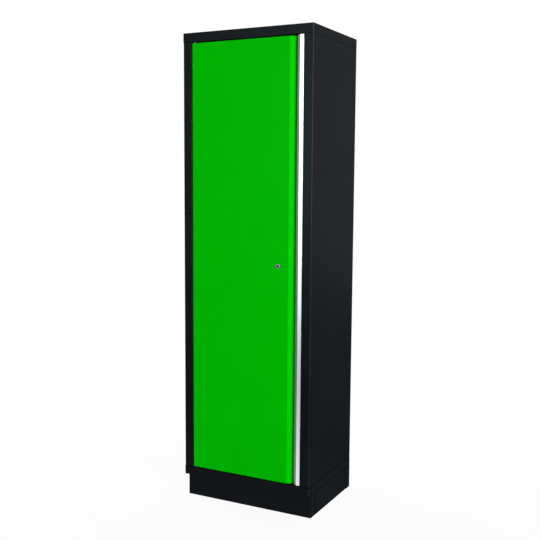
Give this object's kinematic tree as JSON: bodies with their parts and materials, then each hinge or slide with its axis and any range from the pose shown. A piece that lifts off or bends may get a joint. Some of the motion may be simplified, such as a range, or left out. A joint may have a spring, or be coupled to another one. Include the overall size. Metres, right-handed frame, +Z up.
{
  "type": "tall storage cabinet",
  "caption": "Tall free-standing steel storage cabinet with a single green hinged door, aluminium edge handle, key lock with rods, adjustable shelves and a recessed plinth.",
  "frame": {"origin": "on the floor, at the centre of the footprint", "axes": "+Z up, the door faces -Y, its hinges are at -X and its handle at +X"},
  "size_m": [0.6, 0.4527, 2],
  "materials": {
    "black_coat": "satin fine-grain powder coat",
    "green_coat": "satin powder coat",
    "aluminium": "drawn and anodised, fine lengthwise lines",
    "chrome": "polished",
    "dark_chrome": "black nickel",
    "zinc_steel": "zinc plated",
    "black_plastic": "moulded, matt",
    "black_rubber": "moulded, matt"
  },
  "bodies": {
    "carcass": {"back_panel": "black_coat", "back_panel_screws": "zinc_steel", "base_screws": "zinc_steel", "base_tray": "black_coat", "cap_screws": "zinc_steel", "catch_magnets": "zinc_steel", "catch_screws": "zinc_steel", "door_bumpers": "black_rubber", "door_stop_strip": "black_coat", "foot_gussets": "zinc_steel", "foot_nuts": "zinc_steel", "hinge_screws": "zinc_steel", "left_side_panel": "black_coat", "lower_hinge_plate": "zinc_steel", "lower_magnet_catch": "black_plastic", "lower_pivot_pin": "zinc_steel", "plinth_back": "black_coat", "plinth_front": "black_coat", "plinth_left": "black_coat", "plinth_right": "black_coat", "plinth_screws": "zinc_steel", "right_side_panel": "black_coat", "shelf_1": "black_coat", "shelf_2": "black_coat", "shelf_3": "black_coat", "shelf_4": "black_coat", "shelf_clips": "zinc_steel", "shelf_upright_front_left": "black_coat", "shelf_upright_front_right": "black_coat", "shelf_upright_rear_left": "black_coat", "shelf_upright_rear_right": "black_coat", "stop_strip_screws": "zinc_steel", "thrust_washer": "black_plastic", "top_cap": "black_coat", "upper_hinge_plate": "zinc_steel", "upper_magnet_catch": "black_plastic", "upper_pivot_pin": "zinc_steel"},
    "door": {"door_skin": "green_coat", "door_liner": "green_coat", "door_stiffener": "zinc_steel", "door_handle": "aluminium", "handle_rivets": "aluminium", "liner_screws": "zinc_steel", "lock_body": "chrome", "lock_nut": "zinc_steel", "rod_guides": "black_plastic", "strike_plates": "zinc_steel", "upper_pivot_block": "black_plastic", "lower_pivot_block": "black_plastic"},
    "lock": {"lock_plug": "dark_chrome", "lock_crank": "zinc_steel", "crank_screw": "zinc_steel"},
    "upper_lock_rod": {"upper_lock_rod": "zinc_steel"},
    "lower_lock_rod": {"lower_lock_rod": "zinc_steel"},
    "levelling_foot_front_left": {"levelling_foot_front_left": "zinc_steel"},
    "levelling_foot_front_right": {"levelling_foot_front_right": "zinc_steel"},
    "levelling_foot_rear_left": {"levelling_foot_rear_left": "zinc_steel"},
    "levelling_foot_rear_right": {"levelling_foot_rear_right": "zinc_steel"}
  },
  "joints": [
    {"name": "door_swing", "type": "hinge", "parent": "carcass", "child": "door", "pos_m": [-0.248, -0.2165, 1.05], "axis": [0, 0, -1], "range_deg": [0, 105]},
    {"name": "lock_turn", "type": "hinge", "parent": "door", "child": "lock", "pos_m": [0.152, -0.2, 1.045], "axis": [0, 1, 0], "range_deg": [0, 90]},
    {"name": "upper_rod_slide", "type": "slide", "parent": "door", "child": "upper_lock_rod", "axis": [0, 0, 1], "range_m": [0, 0.01697]},
    {"name": "lower_rod_slide", "type": "slide", "parent": "door", "child": "lower_lock_rod", "axis": [0, 0, -1], "range_m": [0, 0.01697]},
    {"name": "front_left_foot_screw", "type": "slide", "parent": "carcass", "child": "levelling_foot_front_left", "axis": [0, 0, -1], "range_m": [0, 0.02]},
    {"name": "front_right_foot_screw", "type": "slide", "parent": "carcass", "child": "levelling_foot_front_right", "axis": [0, 0, -1], "range_m": [0, 0.02]},
    {"name": "rear_left_foot_screw", "type": "slide", "parent": "carcass", "child": "levelling_foot_rear_left", "axis": [0, 0, -1], "range_m": [0, 0.02]},
    {"name": "rear_right_foot_screw", "type": "slide", "parent": "carcass", "child": "levelling_foot_rear_right", "axis": [0, 0, -1], "range_m": [0, 0.02]}
  ],
  "couplings": [
    {"joint": "lock_turn", "follows": "upper_rod_slide", "rad_per_m": 92.55},
    {"joint": "lower_rod_slide", "follows": "upper_rod_slide", "ratio": 1}
  ]
}
